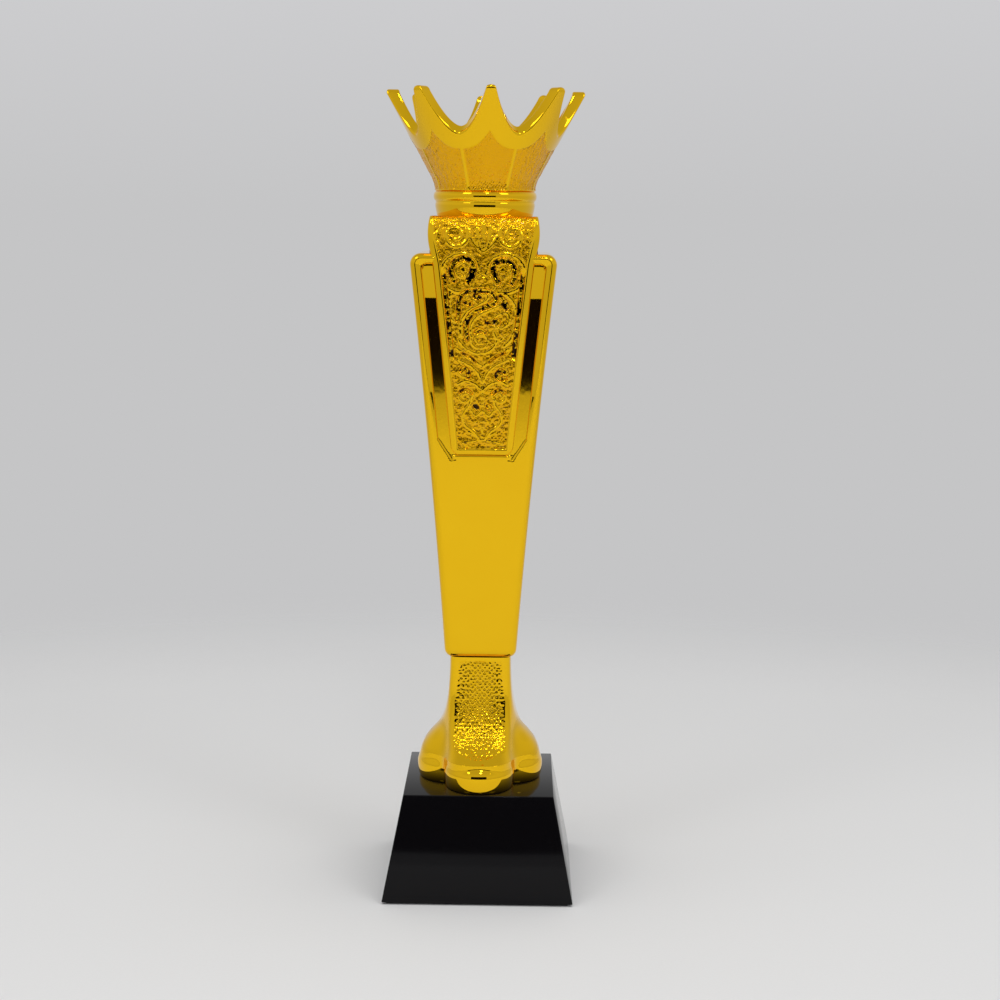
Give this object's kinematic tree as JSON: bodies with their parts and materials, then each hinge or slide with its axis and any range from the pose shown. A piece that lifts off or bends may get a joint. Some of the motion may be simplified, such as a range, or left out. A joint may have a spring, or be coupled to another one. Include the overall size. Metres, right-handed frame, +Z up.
{
  "type": "column trophy",
  "caption": "Gold column award with an open pointed crown on top, scrollwork panels front and back, a lobed foot and a black pyramid base.",
  "frame": {"origin": "centre of the underside of the base's felt, on the tie rod's axis", "axes": "+Z up along the tie rod, -Y towards the front panel, +X to the right as seen from the front"},
  "size_m": [0.082, 0.082, 0.336],
  "materials": {
    "gold_plate": "ABS, vacuum plated in mirror gold",
    "gold_nut": "brass-plated dome nut",
    "black_lacquer": "fibreboard in gloss black lacquer",
    "felt": "pressed felt",
    "zinc_steel": "zinc-plated steel",
    "moulded_core": "black ABS, as moulded"
  },
  "bodies": {
    "root": {"base_felt": "felt", "base_block": "black_lacquer", "base_washer": "zinc_steel", "base_spring_washer": "zinc_steel", "base_nut": "zinc_steel", "tie_rod": "zinc_steel", "foot_plate": "moulded_core", "foot": "gold_plate", "column_lower_plug": "moulded_core", "column_front_shell": "gold_plate", "column_rear_shell": "gold_plate", "column_upper_plug": "moulded_core", "front_panel": "gold_plate", "rear_panel": "gold_plate", "column_head": "gold_plate", "crown_collar": "gold_plate", "crown": "gold_plate", "crown_washer": "zinc_steel", "crown_nut": "gold_nut"}
  },
  "joints": []
}
